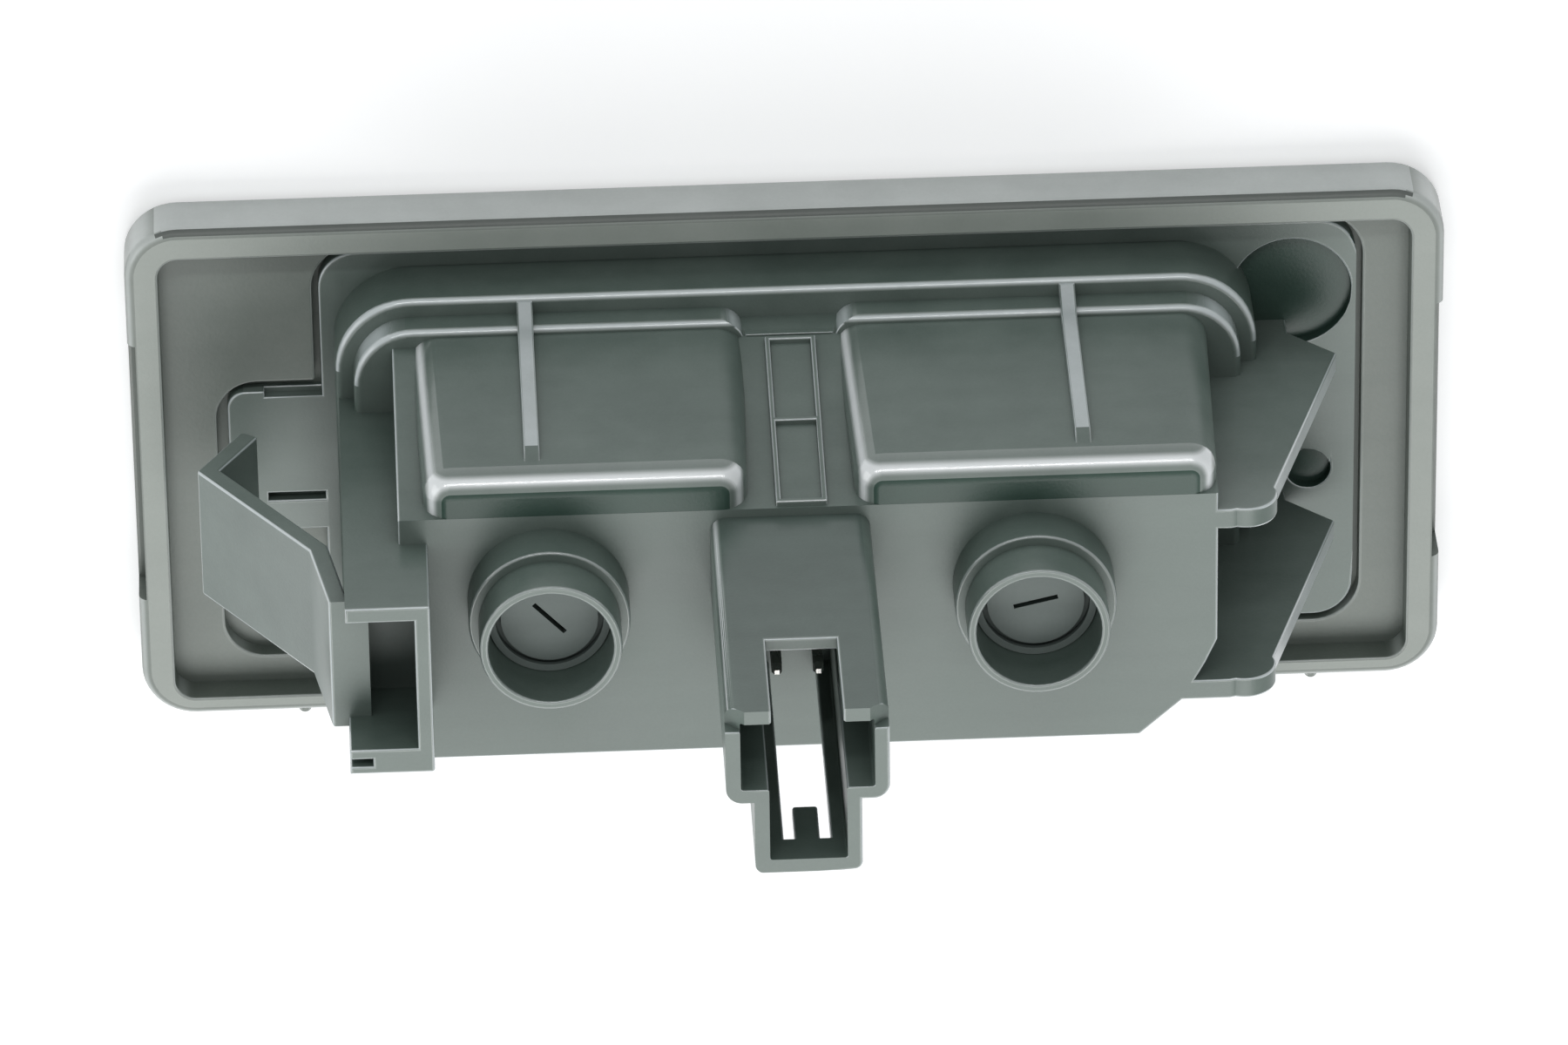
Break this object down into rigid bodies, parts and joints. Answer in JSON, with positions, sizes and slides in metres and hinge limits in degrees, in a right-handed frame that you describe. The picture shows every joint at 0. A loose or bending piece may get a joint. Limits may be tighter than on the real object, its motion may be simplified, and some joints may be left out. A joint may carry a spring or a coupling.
{
  "type": "number plate lamp",
  "caption": "Rectangular snap-in car number plate lamp with a clear window, a sealed housing, vent tubes, a connector hood, a snap tongue and hooks.",
  "frame": {"origin": "on the front face of the flange, under the middle of the base plate", "axes": "+Z from the front face into the car, +X along the flange from the snap tongue to the hooks, +Y towards the long side with the two pods"},
  "size_m": [0.083, 0.0361, 0.0476],
  "materials": {
    "housing_plastic": "satin moulded",
    "frame_plastic": "satin moulded",
    "clear_window": "clear, fluted inside",
    "white_reflector": "gloss white",
    "board_green": "solder mask",
    "diode_yellow": "clear dome over phosphor",
    "plug_grey": "matte",
    "header_black": "matte",
    "pin_tin": "tin plated",
    "chip_black": "matte",
    "capacitor_tan": "matte ceramic"
  },
  "bodies": {
    "root": {"rear_housing": "housing_plastic", "cover_frame": "frame_plastic", "window_lens": "clear_window", "reflector": "white_reflector", "circuit_board": "board_green", "light_diode_left": "diode_yellow", "light_diode_right": "diode_yellow", "vent_plug_left": "plug_grey", "vent_plug_right": "plug_grey", "pin_header_block": "header_black", "contact_pin_left": "pin_tin", "contact_pin_right": "pin_tin", "resistor_1": "chip_black", "resistor_2": "chip_black", "resistor_3": "chip_black", "resistor_4": "chip_black", "rectifier_diode": "chip_black", "surge_suppressor": "chip_black", "capacitor_1": "capacitor_tan", "capacitor_2": "capacitor_tan"}
  },
  "joints": []
}
